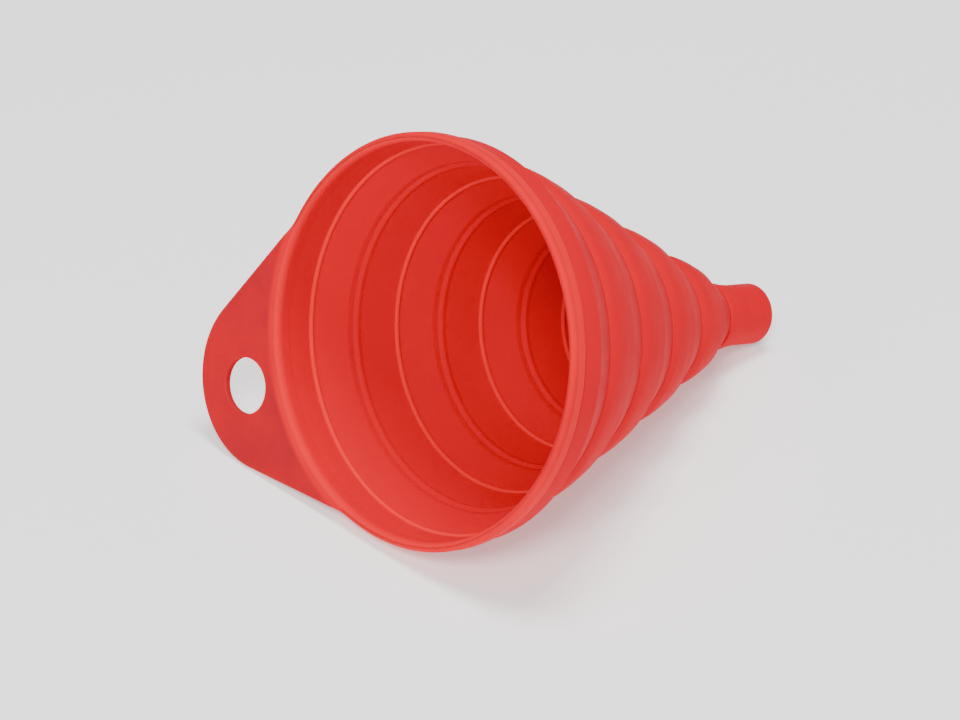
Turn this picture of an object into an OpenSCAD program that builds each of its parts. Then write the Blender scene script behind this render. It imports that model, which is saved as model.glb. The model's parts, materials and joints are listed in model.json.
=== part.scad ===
// Collapsible silicone funnel, lying on its side with its mouth up and to the front.
// One soft moulding: a beaded mouth, five stiff walls joined by thin fold webs,
// a short spout and a hanging tab. Each web flips inside out, so that the tiers
// nest inside each other and the funnel goes flat.
// Every sub-part is drawn upright, with the spout tip at height 0 and the mouth
// on top, and laid() then puts it down on the surface it rests on.

/* [Mouth] */
// Outer radius of the bead around the mouth
mouth_r = 50; // [48:0.5:53]
// Depth of the bead, along the funnel's axis
bead_h = 4.4; // [3.6:0.2:5.2]
// Width of the bead's face, from its inner to its outer edge
bead_w = 2.3; // [2.1:0.1:2.8]
// How far the bead stands out from the wall under it
bead_step = 0.8; // [0.5:0.1:1]

/* [Tiers] */
// Height of the first wall, from the mouth to its lower edge
first_wall_h = 11; // [9:0.5:13]
// Loss of radius from the mouth to the first wall's lower edge
first_wall_drop = 1.2; // [1:0.1:1.6]
// Distance along the axis from one wall's lower edge to the next wall's
tier_pitch = 21.3; // [20:0.1:23]
// Height of each fold web, which is half of its travel when it flips
web_h = 10; // [9:0.5:11]
// Loss of radius across each fold web
web_drop = 5.9; // [5.5:0.1:6.3]
// Thickness of the stiff walls at their edges, measured radially
wall_w = 1.5; // [1.3:0.1:1.8]
// How far the walls between the webs swell out, measured radially
wall_belly = 0.9; // [0:0.1:1.2]
// Thickness of the fold webs, measured radially
web_w = 1.2; // [1:0.1:1.3]
// Gap between a fold web and the tier it carries
fold_gap = 0.2; // [0.1:0.05:0.3]

/* [Spout] */
// Length of the spout, below the last fold web
spout_len = 17.4; // [14:0.2:24]
// Outer radius of the spout's straight end
spout_r = 7.8; // [6.8:0.1:8.4]
// Length of the spout's straight end
spout_land = 9; // [6:0.5:10]
// Length of the collar at the spout's root
collar_h = 2.6; // [2:0.2:3.4]
// How far the collar stands out from the spout's straight end
collar_step = 0.8; // [0.6:0.1:1]
// Radius of the bore through the spout
spout_bore_r = 6.2; // [5.2:0.1:6.2]

/* [Hanging tab] */
// Reach of the tab's tip from the funnel's axis
tab_reach = 76.3; // [74:0.1:80]
// Radius of the tab's round tip
tab_tip_r = 22.6; // [21:0.1:24]
// Radius of the circle around the axis that the tab's sides run off
tab_root_r = 47.9; // [46:0.1:48]
// Thickness of the tab
tab_t = 1.8; // [1.6:0.1:2.6]
// Radius of the hanging hole
hole_r = 7; // [5:0.1:8]
// Distance of the hanging hole's centre from the funnel's axis
hole_reach = 60.8; // [59.5:0.1:61]

/* [Hidden] */
$fn = 128;

tiers = 5;
bead_chamfer = 0.6;
root_step = 0.5;
belly_steps = 5;
belly_lean = 0.7;
hole_overcut = 1;
side_set_in = 0.02;
wall_colour = [0.86, 0.16, 0.13];
web_colour = [0.91, 0.24, 0.18];
tab_colour = [0.84, 0.25, 0.2];

// Radii step down evenly, so that the last web ends on the spout's root
first_crest_r = mouth_r - first_wall_drop;
spout_root_r = spout_r + root_step;
tier_step = (first_crest_r - web_drop - spout_root_r) / (tiers - 1);

// A crest is a wall's lower edge, and a fold is the upper edge of the wall after it
function crest_radius(tier) = first_crest_r - (tier - 1) * tier_step;
function fold_radius(tier) = crest_radius(tier) - web_drop;
function crest_depth(tier) = first_wall_h + (tier - 1) * tier_pitch;
function fold_depth(tier) = crest_depth(tier) + web_h;

overall_h = fold_depth(tiers) + spout_len;
function level(depth) = overall_h - depth;

// Each web meets the walls at the middle of their thickness
web_inset = (wall_w - web_w) / 2;
bead_inner_r = mouth_r - bead_w;
wall_top_r = mouth_r - bead_step;

// The tab's sides are the lines that touch both its tip circle and its root circle
tab_centre = tab_reach - tab_tip_r;
tab_taper = asin((tab_root_r - tab_tip_r) / tab_centre);

// The funnel lies on its first crest, on the spout's end and on the tab's lower edge
lie_angle = atan((first_crest_r - spout_r) / level(first_wall_h));
tab_low = level(tab_t) * tan(lie_angle) + spout_r;
tab_angle = asin((tab_low - tab_tip_r) / tab_centre);

// The origin is under the middle of the lying funnel
lie_x = (tab_centre * cos(tab_angle) + tab_tip_r - mouth_r) / 2;
front_y = overall_h * cos(lie_angle) + tab_low * sin(lie_angle);
lie_y = (front_y - spout_r * sin(lie_angle)) / 2;
lie_z = spout_r * cos(lie_angle);

module laid() {
    translate([lie_x, lie_y, lie_z])
        rotate([90 - lie_angle, 0, 0])
            children();
}

// A ring with slanting sides between two depths, the same radial width all the way
module slanted_ring(top_r, top_depth, low_r, low_depth, width) {
    rotate_extrude()
        polygon([
            [top_r - width, level(top_depth)],
            [low_r - width, level(low_depth)],
            [low_r, level(low_depth)],
            [top_r, level(top_depth)]
        ]);
}

module rim_bead() {
    color(wall_colour)
        laid()
            rotate_extrude()
                polygon([
                    [bead_inner_r, level(bead_h)],
                    [wall_top_r, level(bead_h)],
                    [mouth_r, level(bead_h - bead_step)],
                    [mouth_r, level(0)],
                    [bead_inner_r + bead_chamfer, level(0)],
                    [bead_inner_r, level(bead_chamfer)]
                ]);
}

module rim_wall() {
    color(wall_colour)
        laid()
            slanted_ring(wall_top_r, bead_h, first_crest_r, first_wall_h, wall_w);
}

module tab_plate() {
    side_r = tab_tip_r - side_set_in;
    tip_x = tab_centre + side_r * sin(tab_taper);
    tip_y = side_r * cos(tab_taper);
    root_x = tab_root_r * sin(tab_taper);
    root_y = tab_root_r * cos(tab_taper);
    translate([tab_centre, 0, 0])
        cylinder(h = tab_t, r = tab_tip_r);
    linear_extrude(tab_t)
        polygon([[root_x, root_y], [root_x, -root_y], [tip_x, -tip_y], [tip_x, tip_y]]);
}

module hang_tab() {
    color(tab_colour)
        laid()
            translate([0, 0, level(tab_t)])
                rotate([0, 0, 180 + tab_angle])
                    difference() {
                        tab_plate();
                        translate([0, 0, -hole_overcut])
                            cylinder(h = tab_t + 2 * hole_overcut, r = mouth_r);
                        translate([hole_reach, 0, -hole_overcut])
                            cylinder(h = tab_t + 2 * hole_overcut, r = hole_r);
                    }
}

module fold_web(tier) {
    color(web_colour)
        laid()
            slanted_ring(
                crest_radius(tier) - web_inset, crest_depth(tier),
                fold_radius(tier) - web_inset, fold_depth(tier) - fold_gap,
                web_w
            );
}

// The outside of a wall between its upper and lower edges, most swollen above its middle
function belly_point(tier, share) = [
    fold_radius(tier - 1) + (crest_radius(tier) - fold_radius(tier - 1)) * share
        + wall_belly * sin(180 * pow(share, belly_lean)),
    level(fold_depth(tier - 1) + (crest_depth(tier) - fold_depth(tier - 1)) * share)
];

module tier_ring(tier) {
    inner_side = [
        [crest_radius(tier) - wall_w, level(crest_depth(tier))],
        [fold_radius(tier - 1) - wall_w, level(fold_depth(tier - 1))]
    ];
    outer_side = [for (step = [0 : belly_steps]) belly_point(tier, step / belly_steps)];
    color(wall_colour)
        laid()
            rotate_extrude()
                polygon(concat(inner_side, outer_side));
}

module spout_collar() {
    color(wall_colour)
        laid()
            translate([0, 0, level(fold_depth(tiers) + collar_h)])
                difference() {
                    cylinder(h = collar_h, r = spout_r + collar_step);
                    translate([0, 0, -hole_overcut])
                        cylinder(h = collar_h + 2 * hole_overcut, r = spout_bore_r);
                }
}

module spout_tube() {
    tube_h = spout_len - collar_h;
    color(wall_colour)
        laid()
            difference() {
                union() {
                    cylinder(h = spout_land, r = spout_r);
                    translate([0, 0, spout_land])
                        cylinder(h = tube_h - spout_land, r1 = spout_r, r2 = spout_root_r);
                }
                translate([0, 0, -hole_overcut])
                    cylinder(h = tube_h + 2 * hole_overcut, r = spout_bore_r);
            }
}

rim_bead();
rim_wall();
hang_tab();
fold_web(1);  // fold_web_1
fold_web(2);  // fold_web_2
fold_web(3);  // fold_web_3
fold_web(4);  // fold_web_4
fold_web(5);  // fold_web_5
tier_ring(2);  // tier_ring_2
tier_ring(3);  // tier_ring_3
tier_ring(4);  // tier_ring_4
tier_ring(5);  // tier_ring_5
spout_collar();
spout_tube();
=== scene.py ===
"""Looks for the collapsible silicone funnel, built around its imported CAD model.

Every moulded zone but the tab is a lathed mesh, worked out from the CAD node it stands for:
(radius, depth) profiles around the funnel's axis, with the depth counted from the mouth.
The tab and the lip's flat face are one plate. Profiles are in mm and places in metres.
"""

import json
import math

import bmesh
import bpy
from mathutils import Matrix, Vector


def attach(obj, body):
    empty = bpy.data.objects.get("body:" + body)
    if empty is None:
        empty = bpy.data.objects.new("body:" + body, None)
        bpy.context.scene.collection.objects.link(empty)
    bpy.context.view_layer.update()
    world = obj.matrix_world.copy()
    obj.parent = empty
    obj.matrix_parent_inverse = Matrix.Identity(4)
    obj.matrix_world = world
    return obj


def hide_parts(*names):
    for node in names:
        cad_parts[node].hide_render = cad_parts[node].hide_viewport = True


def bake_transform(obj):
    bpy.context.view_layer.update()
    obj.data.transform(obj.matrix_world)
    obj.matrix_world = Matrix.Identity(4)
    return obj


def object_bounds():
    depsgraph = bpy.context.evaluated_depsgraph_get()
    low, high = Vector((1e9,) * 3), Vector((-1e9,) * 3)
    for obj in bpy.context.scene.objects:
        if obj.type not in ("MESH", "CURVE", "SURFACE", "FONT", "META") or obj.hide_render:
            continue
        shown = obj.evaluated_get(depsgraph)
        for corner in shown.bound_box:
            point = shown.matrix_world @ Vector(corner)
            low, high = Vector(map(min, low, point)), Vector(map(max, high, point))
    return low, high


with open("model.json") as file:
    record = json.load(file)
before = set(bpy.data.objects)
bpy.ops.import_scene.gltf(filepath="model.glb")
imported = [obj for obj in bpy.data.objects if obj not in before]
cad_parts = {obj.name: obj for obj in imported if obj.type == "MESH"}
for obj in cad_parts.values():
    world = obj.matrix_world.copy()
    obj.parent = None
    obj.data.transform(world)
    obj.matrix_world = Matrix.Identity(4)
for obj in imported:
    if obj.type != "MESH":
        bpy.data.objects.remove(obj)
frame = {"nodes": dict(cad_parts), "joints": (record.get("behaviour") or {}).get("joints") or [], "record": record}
CAD_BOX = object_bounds()
MM = 0.001
SEGMENTS = 224  # around the tiers and the mouth
SPOUT_SEGMENTS = 128
HOLE_SEGMENTS = 120
ARC_STEPS = 7  # along a rounded corner
EDGE_STEPS = 6  # round each edge of the tab
WEB_STEPS = 24  # along a fold web, so that it can turn inside out

# ---------------------------------------------------------------- the funnel's own axes

MOUNTS = {m["name"]: m for m in frame["record"]["mounts"]}
UP = Vector(frame["joints"][0]["axis"]).normalized()
DOWN = -UP
SIDE = Vector((1, 0, 0))
FRONT = UP.cross(SIDE)
AXIS_POINT = Vector(MOUNTS["spout_outside"]["pos_m"])


def axis_place(point):
    """(radius, angle, height above AXIS_POINT) of a point, in metres and radians."""
    offset = Vector(point) - AXIS_POINT
    height = offset.dot(UP)
    across = offset - UP * height
    return across.length, math.atan2(across.dot(FRONT), across.dot(SIDE)), height


def node_places(node):
    return [axis_place(v.co) for v in frame["nodes"][node].data.vertices]


MOUTH_HEIGHT = max(place[2] for place in node_places("rim_bead"))
MOUTH_CENTRE = AXIS_POINT + UP * MOUTH_HEIGHT
TAB_ANGLE = axis_place(MOUNTS["hang_hole"]["pos_m"])[1]


def spot(radius, angle, depth):
    """A point in the frame from a radius and a depth below the mouth, both in mm."""
    across = SIDE * math.cos(angle) + FRONT * math.sin(angle)
    return MOUTH_CENTRE + DOWN * (depth * MM) + across * (radius * MM)


END_BAND = 0.05  # mm of depth within which a vertex belongs to a ring's end


def ring_of(node):
    """A ring's depths and its inner and outer radii at both ends, in mm."""
    places = node_places(node)
    depths = [(MOUTH_HEIGHT - place[2]) / MM for place in places]
    radii = [place[0] / MM for place in places]
    top, low = min(depths), max(depths)
    at_top = [r for r, d in zip(radii, depths) if d - top < END_BAND]
    at_low = [r for r, d in zip(radii, depths) if low - d < END_BAND]
    return {
        "top": top,
        "low": low,
        "top_out": max(at_top),
        "top_in": min(at_top),
        "low_out": max(at_low),
        "low_in": min(at_low),
        "out": max(radii),
        "in": min(radii),
    }


# ---------------------------------------------------------------- mesh helpers


def rounded(corners):
    """Turns (radius, depth, rounding) corners into a closed outline with arcs.

    A corner with a fourth value is a point of its own, and that value is its painted highlight.
    """
    outline = []
    count = len(corners)
    for i, corner in enumerate(corners):
        if len(corner) > 3:
            outline.append((corner[0], corner[1], corner[3]))
            continue
        here = Vector(corner[:2])
        before = Vector(corners[i - 1][:2]) - here
        after = Vector(corners[(i + 1) % count][:2]) - here
        size = corner[2] if len(corner) > 2 else 0
        outline += corner_arc(here, before, after, size)
    return outline


HIGHLIGHT_UNDER = 0.5  # corners with a smaller rounding than this get a painted highlight


def corner_arc(here, before, after, size):
    """The points of one rounded corner, pale with a painted highlight if it is sharp and points outward."""
    if size <= 0:
        return [tuple(here)]
    half = before.angle(after) / 2
    reach = size / math.tan(half)
    reach = min(reach, before.length * 0.49, after.length * 0.49)
    size = reach * math.tan(half)
    halfway = (before.normalized() + after.normalized()).normalized()
    middle = here + halfway * (size / math.sin(half))
    start = here + before.normalized() * reach - middle
    end = here + after.normalized() * reach - middle
    turn = start.angle_signed(end)
    points = []
    for step in range(ARC_STEPS + 1):
        part = start.copy()
        part.rotate(Matrix.Rotation(-turn * step / ARC_STEPS, 2))
        # A sharp corner that points outward gets a painted highlight, strongest mid-arc.
        highlit = turn > 0 and size < HIGHLIGHT_UNDER
        painted_highlight = math.sin(math.pi * step / ARC_STEPS) if highlit else 0
        points.append((*(middle + part), painted_highlight))
    return points


def new_piece(name, bm, material, body=None, nodes=()):
    """Makes an object from a bmesh, smooth except at its sharp edges, riding on a body."""
    bmesh.ops.remove_doubles(bm, verts=bm.verts, dist=0.000002)
    bmesh.ops.recalc_face_normals(bm, faces=bm.faces)
    mesh = bpy.data.meshes.new(name)
    bm.to_mesh(mesh)
    bm.free()
    mesh.shade_smooth()
    mesh.set_sharp_from_angle(angle=math.radians(40))
    piece = bpy.data.objects.new(name, mesh)
    bpy.context.scene.collection.objects.link(piece)
    mesh.materials.append(material)
    if body:
        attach(piece, body)
    if nodes:
        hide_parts(*nodes)
    return piece


def lathe(outline, segments=SEGMENTS):
    """A closed surface made by turning an outline of (radius, depth, painted highlight) around the axis."""
    bm = bmesh.new()
    # Each vertex carries how much painted highlight it gets.
    highlit = bm.verts.layers.float.new("painted_highlight")
    rows = []
    for radius, depth, *painted_highlight in outline:
        row = []
        for k in range(segments):
            row.append(bm.verts.new(spot(radius, 2 * math.pi * k / segments, depth)))
            row[-1][highlit] = painted_highlight[0] if painted_highlight else 0
        rows.append(row)
    for i, row in enumerate(rows):
        after = rows[(i + 1) % len(rows)]
        for k in range(segments):
            n = (k + 1) % segments
            bm.faces.new((row[k], row[n], after[n], after[k]))
    return bm


def along(a, b, share):
    return a + (b - a) * share


# ---------------------------------------------------------------- silicone


def node_of(tree, kind, **values):
    made = tree.nodes.new(kind)
    for key, value in values.items():
        setattr(made, key, value)
    return made


def set_inputs(shader_node, **values):
    for key, value in values.items():
        shader_node.inputs[key.replace("_", " ")].default_value = value


def noise(tree, coordinates, scale, detail, roughness=0.55):
    made = node_of(tree, "ShaderNodeTexNoise")
    set_inputs(made, Scale=scale, Detail=detail, Roughness=roughness)
    tree.links.new(coordinates, made.inputs["Vector"])
    return made.outputs["Fac"]


def remap(tree, value, low, high, to_low, to_high):
    made = node_of(tree, "ShaderNodeMapRange")
    set_inputs(made, From_Min=low, From_Max=high, To_Min=to_low, To_Max=to_high)
    tree.links.new(value, made.inputs["Value"])
    return made.outputs["Result"]


def mix_colour(tree, share, first, second):
    made = node_of(tree, "ShaderNodeMix", data_type="RGBA")
    tree.links.new(share, made.inputs[0])
    for socket, colour in ((made.inputs[6], first), (made.inputs[7], second)):
        if isinstance(colour, tuple):
            socket.default_value = colour
        else:
            tree.links.new(colour, socket)
    return made.outputs[2]


# How fine each pattern in the silicone is: the noise textures' scales, per metre
CLOUDS = 55
WAVES = 90
PATCHES = 140
SPECKS = 2600
GRAIN = 3200
TAB_FADE = 0.0015  # over which the lip's colour turns into the tab's


def silicone(name, base, shade, pale, rough):
    """Soft satin silicone: faint clouding, dust specks, a painted highlight on the lip, the crest beads and sharp
    edges, and a fine grain.

    A list of two base colours fades from the first to the second outside the mouth's bead.
    """
    material = bpy.data.materials.new(name)
    material.use_nodes = True
    tree = material.node_tree
    shader = tree.nodes["Principled BSDF"]
    place = node_of(tree, "ShaderNodeTexCoord").outputs["Object"]
    if isinstance(base, list):
        away = node_of(tree, "ShaderNodeVectorMath", operation="DISTANCE")
        away.inputs[1].default_value = MOUTH_CENTRE
        tree.links.new(place, away.inputs[0])
        edge = ring_of("rim_bead")["out"] * MM
        share = remap(tree, away.outputs["Value"], edge, edge + TAB_FADE, 0, 1)
        base = mix_colour(tree, share, *base)
    clouds = remap(tree, noise(tree, place, CLOUDS, 3), 0.35, 0.65, 0, 0.6)
    colour = mix_colour(tree, clouds, base, shade)
    specks = remap(tree, noise(tree, place, SPECKS, 1), 0.66, 0.78, 0, 0.3)
    colour = mix_colour(tree, specks, colour, pale)
    # Painted highlight: vertices that carry it are mixed most of the way to the pale colour.
    highlit = node_of(tree, "ShaderNodeAttribute", attribute_name="painted_highlight").outputs["Fac"]
    edges = remap(tree, highlit, 0, 1, 0, 0.95)
    colour = mix_colour(tree, edges, colour, pale)
    tree.links.new(colour, shader.inputs["Base Color"])
    patches = remap(tree, noise(tree, place, PATCHES, 4), 0.3, 0.7, rough - 0.05, rough + 0.07)
    tree.links.new(patches, shader.inputs["Roughness"])
    grain = node_of(tree, "ShaderNodeBump")
    set_inputs(grain, Strength=0.22, Distance=0.00005)
    tree.links.new(noise(tree, place, GRAIN, 3), grain.inputs["Height"])
    waves = node_of(tree, "ShaderNodeBump")
    set_inputs(waves, Strength=0.15, Distance=0.0002)
    tree.links.new(noise(tree, place, WAVES, 2), waves.inputs["Height"])
    tree.links.new(grain.outputs["Normal"], waves.inputs["Normal"])
    tree.links.new(waves.outputs["Normal"], shader.inputs["Normal"])
    set_inputs(shader, Subsurface_Weight=0.2, Subsurface_Scale=0.0008, IOR=1.4)
    shader.inputs["Subsurface Radius"].default_value = (1.0, 0.3, 0.25)
    shader.inputs["Specular IOR Level"].default_value = 0.05
    return material


RED = (0.645, 0.0004, 0.0115, 1)
DEEP_RED = (0.60, 0.0004, 0.013, 1)
# The pale colour of the dust specks and of the painted highlight.
PALE_RED = (0.86, 0.016, 0.022, 1)
LIP_RED = (0.74, 0.006, 0.014, 1)
TAB_RED = (0.41, 0.010, 0.020, 1)
SKIN = silicone("red_silicone", RED, DEEP_RED, PALE_RED, 0.6)
LIP_SKIN = silicone("red_silicone_lip", [LIP_RED, TAB_RED], RED, PALE_RED, 0.66)

# ---------------------------------------------------------------- the mouth

TAB_TIP_R = 22.6  # radius of the tab's round tip
TAB_ROOT_R = 47.9  # radius of the circle that the tab's sides run off
TAB_SOFT = 0.5  # how softly the tab's sides run into the lip
LIP_SPLIT = 1.4  # from the mouth's inner edge to the flat plate that carries the tab
LIP_DEEP = 2.0  # how far the lip's round goes down into the mouth
LIP_HIGHLIGHT = 0.6  # painted highlight on the lip
PLATE_UNDER = 1.3  # depth at which the bead starts under the plate
PINCH = 0.12  # from the end of an edge's round to the row that closes the flat face
bead = ring_of("rim_bead")
wall = ring_of("rim_wall")
tab = ring_of("hang_tab")
TAB_CENTRE = tab["out"] - TAB_TIP_R
TAB_TAPER = math.asin((TAB_ROOT_R - TAB_TIP_R) / TAB_CENTRE)


def make_bead():
    """The bead's inner side and its outer face, under the lip that carries the tab."""
    inner = bead["in"]
    split = inner + LIP_SPLIT
    outer = bead["out"] - 0.02
    low = bead["low"] - 0.05
    outline = [(inner, bead["low"])]
    # The lip's round and the whole bead below the plate carry a painted highlight.
    for step in range(2 * ARC_STEPS + 1):
        turn = math.pi / 2 * step / (2 * ARC_STEPS)
        depth = LIP_DEEP - LIP_DEEP * math.sin(turn)
        outline.append((split - LIP_SPLIT * math.cos(turn), depth, LIP_HIGHLIGHT * math.sin(turn)))
    face = [(split, PLATE_UNDER), (outer, PLATE_UNDER), (outer, low, 0.5), (inner + 1.0, low)]
    under = rounded(face)
    outline += [(point[0], point[1], LIP_HIGHLIGHT) for point in under]
    outline.append((inner + 0.9, bead["low"]))
    return new_piece("rim_bead_lip", lathe(outline), SKIN, "rim", ["rim_bead"])


def tab_radius(angle):
    """The lip's outer edge in a direction, measured from the middle of the tab."""
    angle = abs(math.remainder(angle, 2 * math.pi))
    mouth = bead["out"]
    tangent = math.pi / 2 - TAB_TAPER
    tip_end = math.atan2(
        TAB_TIP_R * math.cos(TAB_TAPER), TAB_CENTRE + TAB_TIP_R * math.sin(TAB_TAPER)
    )
    if angle <= tip_end:
        half = TAB_CENTRE * math.sin(angle)
        return TAB_CENTRE * math.cos(angle) + math.sqrt(TAB_TIP_R**2 - half**2)
    if angle >= tangent:
        return mouth
    side = TAB_ROOT_R / math.cos(tangent - angle)
    return (mouth + side + math.sqrt((side - mouth) ** 2 + TAB_SOFT**2)) / 2


def tab_outline(count=720):
    """The lip's outer edge as (x, y) with x along the tab, each point with its radius."""
    points = []
    for k in range(count):
        angle = 2 * math.pi * k / count
        radius = tab_radius(angle)
        points.append((Vector((radius * math.cos(angle), radius * math.sin(angle))), radius))
    return points


def inward(points, i):
    """The direction into the shape at a point of an outline that runs anticlockwise."""
    run = points[(i + 1) % len(points)] - points[i - 1]
    return Vector((-run.y, run.x)).normalized()


def flat_spot(point, depth):
    return spot(point.length, TAB_ANGLE + math.atan2(point.y, point.x), depth)


def edge_rows(bm, points, tops, lows, thickness, sign=1):
    """Rows of vertices from the top face round the edge to the back face.

    The sign is -1 around a hole, where the material is on the outline's other side.
    """
    inners = [inward(points, i) * sign for i in range(len(points))]
    rows = []
    for step in range(-1, EDGE_STEPS + 1):
        places = [top_edge(p, n, step, top) for p, n, top in zip(points, inners, tops)]
        rows.append([bm.verts.new(place) for place in places])
    for step in range(EDGE_STEPS + 2):
        places = [low_edge(p, n, step, low, thickness) for p, n, low in zip(points, inners, lows)]
        rows.append([bm.verts.new(place) for place in places])
    return rows


def top_edge(point, inner, step, size):
    """A place on the round between the top face and the edge; step -1 is on the face."""
    if step < 0:
        return flat_spot(point + inner * (size + PINCH), 0)
    turn = math.pi / 2 * step / EDGE_STEPS
    return flat_spot(point + inner * (size * (1 - math.sin(turn))), size * (1 - math.cos(turn)))


def low_edge(point, inner, step, size, thickness):
    """A place on the round between the edge and the back face; the last is on the face."""
    if step > EDGE_STEPS:
        return flat_spot(point + inner * (size + PINCH), thickness)
    turn = math.pi / 2 * step / EDGE_STEPS
    depth = thickness - size * (1 - math.sin(turn))
    return flat_spot(point + inner * (size * (1 - math.cos(turn))), depth)


def join_rows(bm, rows):
    for row, after in zip(rows, rows[1:]):
        for k in range(len(row)):
            n = (k + 1) % len(row)
            bm.faces.new((row[k], row[n], after[n], after[k]))


def cap(bm, loops):
    """Fills the flat face between an outer loop and the loops inside it."""
    edges = []
    for loop in loops:
        for k in range(len(loop)):
            edges.append(bm.edges.get((loop[k], loop[(k + 1) % len(loop)])))
    bmesh.ops.triangle_fill(bm, use_beauty=True, edges=edges)


def make_tab():
    """The lip's flat face and the hanging tab, in one plate with rounded edges."""
    bm = bmesh.new()
    places = tab_outline()
    points = [p for p, radius in places]
    thickness = tab["low"] - tab["top"]
    lows = [max(0.02, min(0.45, (radius - bead["out"]) * 0.6)) for p, radius in places]
    tops = [max(0.5, 1.2 - (radius - bead["out"]) * 0.5) for p, radius in places]
    outer = edge_rows(bm, points, tops, lows, thickness)
    hole = MOUNTS["hang_hole"]
    hole_centre = Vector((axis_place(hole["pos_m"])[0] / MM, 0))
    hole_r = hole["dims"]["r_mm"]
    around = []
    for k in range(HOLE_SEGMENTS):
        angle = 2 * math.pi * k / HOLE_SEGMENTS
        around.append(hole_centre + Vector((math.cos(angle), math.sin(angle))) * hole_r)
    hole_tops = [0.4] * HOLE_SEGMENTS
    hole_lows = [0.35] * HOLE_SEGMENTS
    hole_rows = edge_rows(bm, around, hole_tops, hole_lows, thickness, -1)
    split = bead["in"] + LIP_SPLIT
    inside = []
    for depth in (0, thickness):
        row = []
        for k in range(SEGMENTS):
            row.append(bm.verts.new(spot(split, 2 * math.pi * k / SEGMENTS, depth)))
        inside.append(row)
    join_rows(bm, outer)
    join_rows(bm, hole_rows)
    join_rows(bm, inside)
    cap(bm, [outer[0], inside[0], hole_rows[0]])
    cap(bm, [outer[-1], inside[1], hole_rows[-1]])
    return new_piece("hang_tab_plate", bm, LIP_SKIN, "rim", ["hang_tab"])


# ---------------------------------------------------------------- walls and fold webs

BEAD_R = 0.68  # radius of the half-round bead inside each crest
BEAD_TURN = math.radians(165)
BEAD_STEPS = 12
GROOVE_OUT = 0.75  # depth of the groove inside each wall's upper edge
GROOVE_RUN = 1.5  # length of a web's inside that runs out into that groove
SINK = 0.4  # how far a web runs on into the wall below it


def crest_corners(ring, web):
    """From a wall's rounded lower edge, round its underside to the bead inside.

    One corner is hidden inside the web, so that wall and web leave no gap between them.
    """
    lean = (web["low_in"] - web["top_in"]) / (web["low"] - web["top"])
    corner, low = ring["low_in"], ring["low"]
    corners = [
        (ring["low_out"], low - 0.12, 0.3),
        (ring["low_out"] - 0.2, low + 0.02),
        (ring["low_out"] - 0.8, low + 0.02),
        (web["top_in"] + lean * 0.8 + 0.4, low + 0.8),
    ]
    for step in range(BEAD_STEPS + 1):
        turn = BEAD_TURN * (1 - step / BEAD_STEPS)
        radius = corner - 0.05 - BEAD_R * math.sin(turn)
        depth = low + 0.15 - BEAD_R * math.cos(turn)
        # The bead inside the crest carries a painted highlight, strongest along its ridge.
        painted_highlight = math.sin(turn) ** 0.5 if 0 < step < BEAD_STEPS else 0
        corners.append((radius, depth, 0, painted_highlight))
    return corners


def outer_curve(node, steps=6):
    """The outside of a wall from its upper to its lower edge, smoothed through the CAD's corners."""
    ring = ring_of(node)
    by_depth = {}
    for radius, angle, height in node_places(node):
        depth = round((MOUTH_HEIGHT - height) / MM, 1)
        share = (depth - ring["top"]) / (ring["low"] - ring["top"])
        if radius / MM > along(ring["top_out"], ring["low_out"], share) - 0.4:
            by_depth[depth] = max(by_depth.get(depth, 0), radius / MM)
    corners = [Vector((r, d)) for d, r in sorted(by_depth.items())]
    ends = [corners[0] * 2 - corners[1]] + corners + [corners[-1] * 2 - corners[-2]]
    curve = []
    for i in range(1, len(ends) - 2):
        for step in range(steps):
            curve.append(spline(ends[i - 1 : i + 3], step / steps))
    return curve


def spline(near, t):
    """A point of the Catmull-Rom curve between the second and third of four points."""
    a, b, c, d = near
    square = 2 * a - 5 * b + 4 * c - d
    cube = 3 * b - a - 3 * c + d
    return 0.5 * (2 * b + (c - a) * t + square * t**2 + cube * t**3)


def make_first_wall():
    web = ring_of("fold_web_1")
    outline = [
        (wall["top_in"], wall["top"]),
        (wall["top_out"] - 0.55, wall["top"] - 0.3),
        (wall["top_out"] - 0.55, wall["top"] + 0.15),
        (wall["top_out"] - 0.02, wall["top"] + 0.7, 0.4),
    ]
    outline += crest_corners(wall, web)
    return new_piece("rim_wall_skin", lathe(rounded(outline)), SKIN, "rim", ["rim_wall"])


def make_tier(number, body):
    """A stiff wall: it swells outside, and its upper edge ends in a groove inside."""
    node = "tier_ring_" + str(number)
    ring = ring_of(node)
    web = ring_of("fold_web_" + str(number))
    inner, top = ring["top_in"], ring["top"]
    outline = [(inner + 0.9, top - 0.1), (ring["top_out"] - 0.02, top - 0.1, 0.3)]
    outline += [tuple(point) for point in outer_curve(node)[3:]]
    outline += crest_corners(ring, web)
    outline += [
        (inner - 0.1, top + 1.7, 1.0),
        (inner - 0.1, top + 0.6, 0.8),
        (inner + GROOVE_OUT, top - 0.35),
        (inner + 0.9, top - 0.35),
    ]
    return new_piece(node + "_skin", lathe(rounded(outline)), SKIN, body, [node])


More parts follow.
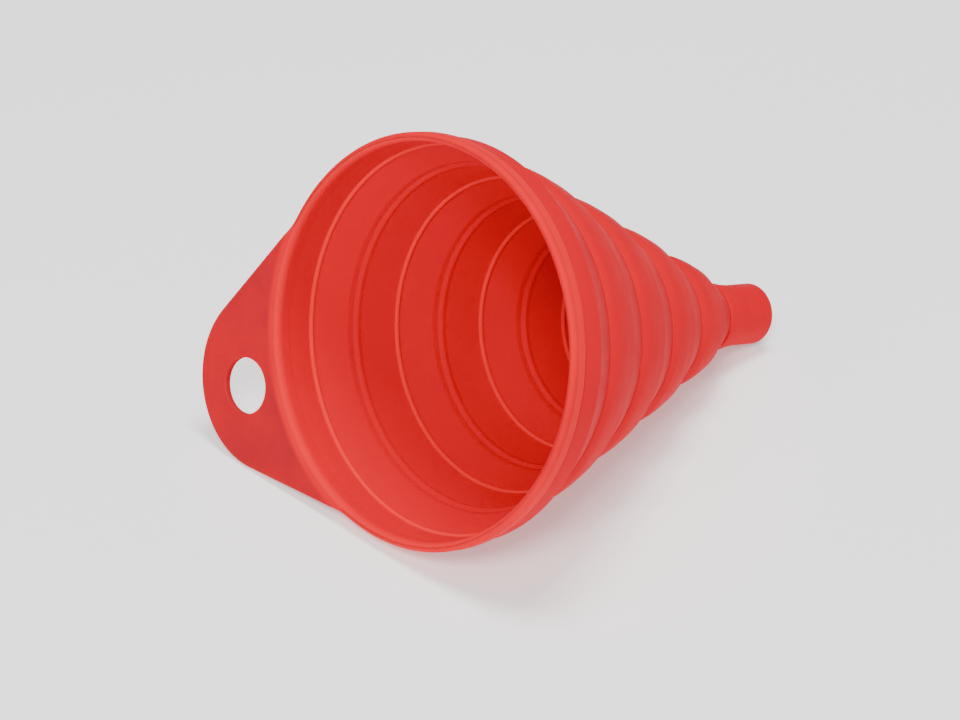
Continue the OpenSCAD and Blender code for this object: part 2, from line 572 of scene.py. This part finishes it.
def make_web(number):
    """A thin web: its ends are sunk in its neighbours and it turns inside out between them."""
    node = "fold_web_" + str(number)
    web = ring_of(node)
    top, low = web["top"], web["low"]
    out_lean = (web["low_out"] - web["top_out"]) / (low - top)
    in_lean = (web["low_in"] - web["top_in"]) / (low - top)
    bend = low - GROOVE_RUN
    outline = [(web["top_out"] - 0.6, top - 0.3), (web["top_out"] - 0.25, top - 0.05)]
    for step in range(WEB_STEPS + 1):
        depth = along(top, low + SINK, step / WEB_STEPS)
        outline.append((web["top_out"] + out_lean * (depth - top), depth))
    groove = (web["low_in"] + 0.02 + GROOVE_OUT - 0.15, low - 0.15)
    outline.append((groove[0], low + 0.3))
    bend_in = web["top_in"] + in_lean * (bend - top)
    for step in range(ARC_STEPS + 1):
        share = step / ARC_STEPS
        outline.append((along(groove[0], bend_in, share), along(groove[1], bend, share)))
    for step in range(1, WEB_STEPS + 1):
        depth = along(bend, top - 0.25, step / WEB_STEPS)
        outline.append((web["top_in"] + in_lean * (depth - top), depth))
    piece = new_piece(node + "_skin", lathe(outline), SKIN)
    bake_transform(piece)
    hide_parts(node)
    return piece


# ---------------------------------------------------------------- the spout


def make_collar():
    ring = ring_of("spout_collar")
    bore = ring["in"]
    outline = [
        (bore, ring["top"] + 0.1, 0.4),
        (ring["out"] - 0.5, ring["top"] + 0.05),
        (ring["out"], ring["top"] + 0.1, 0.4),
        (ring["out"], ring["low"], 0.45),
        (bore, ring["low"]),
    ]
    collar = lathe(rounded(outline), SPOUT_SEGMENTS)
    return new_piece("spout_collar_skin", collar, SKIN, "spout", ["spout_collar"])


def make_spout():
    ring = ring_of("spout_tube")
    bore = ring["in"]
    land = MOUNTS["spout_outside"]["dims"]
    straight = ring["low"] - land["length_mm"]
    outline = [
        (bore, ring["top"]),
        (ring["top_out"], ring["top"]),
        (land["r_mm"], straight, 3.0),
        (land["r_mm"], ring["low"], 0.65),
        (bore, ring["low"], 0.5),
    ]
    tube = lathe(rounded(outline), SPOUT_SEGMENTS)
    return new_piece("spout_tube_skin", tube, SKIN, "spout", ["spout_tube"])


# ---------------------------------------------------------------- stage, light, camera


def make_floor():
    bpy.ops.mesh.primitive_plane_add(size=6, location=(0, 0, 0))
    floor = bpy.context.object
    floor.name = "pale_floor"
    material = bpy.data.materials.new("pale_floor")
    material.use_nodes = True
    shader = material.node_tree.nodes["Principled BSDF"]
    set_inputs(shader, Roughness=0.8, Emission_Strength=0.42)
    shader.inputs["Base Color"].default_value = (0.92, 0.92, 0.92, 1)
    shader.inputs["Emission Color"].default_value = (1, 1, 1, 1)
    shader.inputs["Specular IOR Level"].default_value = 0.1
    floor.data.materials.append(material)


def soft_light(name, place, target, size, power):
    data = bpy.data.lights.new(name, "AREA")
    data.shape = "DISK"
    data.size = size
    data.energy = power
    lamp = bpy.data.objects.new(name, data)
    bpy.context.scene.collection.objects.link(lamp)
    lamp.location = place
    lamp.rotation_mode = "QUATERNION"
    lamp.rotation_quaternion = (Vector(target) - Vector(place)).to_track_quat("-Z", "Y")


def make_world(strength):
    world = bpy.data.worlds.new("studio")
    bpy.context.scene.world = world
    world.use_nodes = True
    sky = world.node_tree.nodes["Background"]
    sky.inputs["Color"].default_value = (1, 1, 1, 1)
    sky.inputs["Strength"].default_value = strength


VIEW_AZIMUTH = 46.8  # degrees
VIEW_ELEVATION = 33.1  # degrees
VIEW_RIGHT = 0.01494  # metres from the mouth's centre to the picture's centre
VIEW_LOW = 0.004045
LENS = 158.2  # mm, at one metre


def make_camera():
    """Looks down into the mouth, with the spout pointing away to the right, from a metre away."""
    azimuth = math.radians(VIEW_AZIMUTH)
    elevation = math.radians(VIEW_ELEVATION)
    right = Vector((math.cos(azimuth), math.sin(azimuth), 0))
    ahead = Vector(
        (
            -math.sin(azimuth) * math.cos(elevation),
            math.cos(azimuth) * math.cos(elevation),
            -math.sin(elevation),
        )
    )
    low = ahead.cross(right)
    data = bpy.data.cameras.new("camera")
    data.lens = LENS
    data.sensor_width = 36
    camera = bpy.data.objects.new("camera", data)
    bpy.context.scene.collection.objects.link(camera)
    camera.location = MOUTH_CENTRE + right * VIEW_RIGHT + low * VIEW_LOW - ahead
    camera.rotation_mode = "QUATERNION"
    camera.rotation_quaternion = ahead.to_track_quat("-Z", "Y")
    bpy.context.scene.camera = camera


BODIES = ["rim", "tier_2", "tier_3", "tier_4", "tier_5", "spout"]

make_camera()
make_bead()
make_tab()
make_first_wall()
for number in range(2, 6):
    make_tier(number, BODIES[number - 1])
for number in range(1, 6):
    make_web(number)
make_collar()
make_spout()
make_floor()
make_world(0.28)
centre = (CAD_BOX[0] + CAD_BOX[1]) / 2
soft_light("key", centre + Vector((0.6, -0.75, 0.95)), centre, 0.4, 15)
soft_light("top", centre + Vector((0.0, 0.15, 1.2)), centre, 0.5, 15)
soft_light("mouth", centre + UP * 1.1 + Vector((0.2, 0, 0.1)), centre, 0.4, 2.6)
